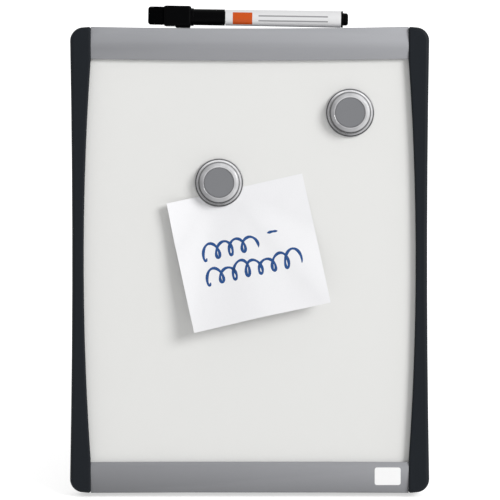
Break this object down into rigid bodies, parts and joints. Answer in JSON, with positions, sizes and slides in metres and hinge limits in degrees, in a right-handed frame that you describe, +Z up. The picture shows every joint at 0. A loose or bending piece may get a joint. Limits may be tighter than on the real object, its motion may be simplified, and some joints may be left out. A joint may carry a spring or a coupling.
{
  "type": "magnetic desk whiteboard easel",
  "caption": "Small magnetic whiteboard with bowed rails on a folding desk leg, with round magnets, a pinned note and a capped marker along its top edge.",
  "frame": {"origin": "on the desk, under the middle of the object's box at rest", "axes": "+Z up, the writing face towards -Y and leaning back 15 degrees, +X to the right seen from the front"},
  "size_m": [0.2158, 0.1126, 0.2862],
  "materials": {
    "white_enamel": "glossy white dry-wipe enamel on steel",
    "core_board": "pressed fibre board",
    "grey_board": "grey lining board",
    "silver_rail": "satin silver-grey",
    "black_rail": "satin blue-black moulding",
    "steel": "zinc plated",
    "black_rubber": "matt",
    "leg_plastic": "fine moulded grain",
    "clear_plastic": "clear, polished",
    "grey_disc": "satin grey disc",
    "ferrite": "pressed ferrite",
    "paper": "uncoated, blue ink strokes",
    "white_barrel": "glossy white",
    "black_gloss": "glossy black",
    "ink_felt": "pressed fibre soaked with ink",
    "ink_fibre": "bonded fibre rod",
    "black_felt": "dense felt"
  },
  "bodies": {
    "board": {"writing_sheet": "white_enamel", "board_core": "core_board", "backing_sheet": "grey_board", "top_rail": "silver_rail", "bottom_rail": "silver_rail", "left_side_rail": "black_rail", "right_side_rail": "black_rail", "frame_feet": "black_rubber", "hinge_bracket": "leg_plastic", "hinge_pin": "steel", "bracket_screws": "steel"},
    "leg": {"support_leg": "leg_plastic", "leg_shoe": "black_rubber"},
    "left_magnet": {"left_magnet_shell": "clear_plastic", "left_magnet_disc": "grey_disc", "left_magnet_core": "ferrite"},
    "right_magnet": {"right_magnet_shell": "clear_plastic", "right_magnet_disc": "grey_disc", "right_magnet_core": "ferrite"},
    "note": {"note_sheet": "paper"},
    "marker": {"marker_barrel": "white_barrel", "marker_end_plug": "black_gloss", "marker_nose": "black_gloss", "marker_nib": "ink_felt", "marker_reservoir": "ink_fibre"},
    "cap": {"marker_cap": "black_gloss", "eraser_block": "black_gloss", "eraser_felt": "black_felt", "cap_magnet": "ferrite"}
  },
  "joints": [
    {"name": "leg_fold", "type": "hinge", "parent": "board", "child": "leg", "pos_m": [0, 0.00688, 0.16682], "axis": [-1, 0, 0], "range_deg": [0, 30]},
    {"name": "left_magnet_lift", "type": "slide", "parent": "board", "child": "left_magnet", "axis": [0, -0.9659, 0.2588], "range_m": [0, 0.06]},
    {"name": "note_lift", "type": "slide", "parent": "board", "child": "note", "axis": [0, -0.9659, 0.2588], "range_m": [0, 0.03]},
    {"name": "right_magnet_lift", "type": "slide", "parent": "board", "child": "right_magnet", "axis": [0, -0.9659, 0.2588], "range_m": [0, 0.06]},
    {"name": "marker_lift", "type": "slide", "parent": "board", "child": "marker", "axis": [0, 0.2588, 0.9659], "range_m": [0, 0.06]},
    {"name": "cap_pull", "type": "slide", "parent": "marker", "child": "cap", "axis": [-0.9999, 0.004, 0.015], "range_m": [0, 0.032]}
  ],
  "couplings": [
    {"joint": "note_lift", "follows": "left_magnet_lift", "ratio": 0.5}
  ]
}
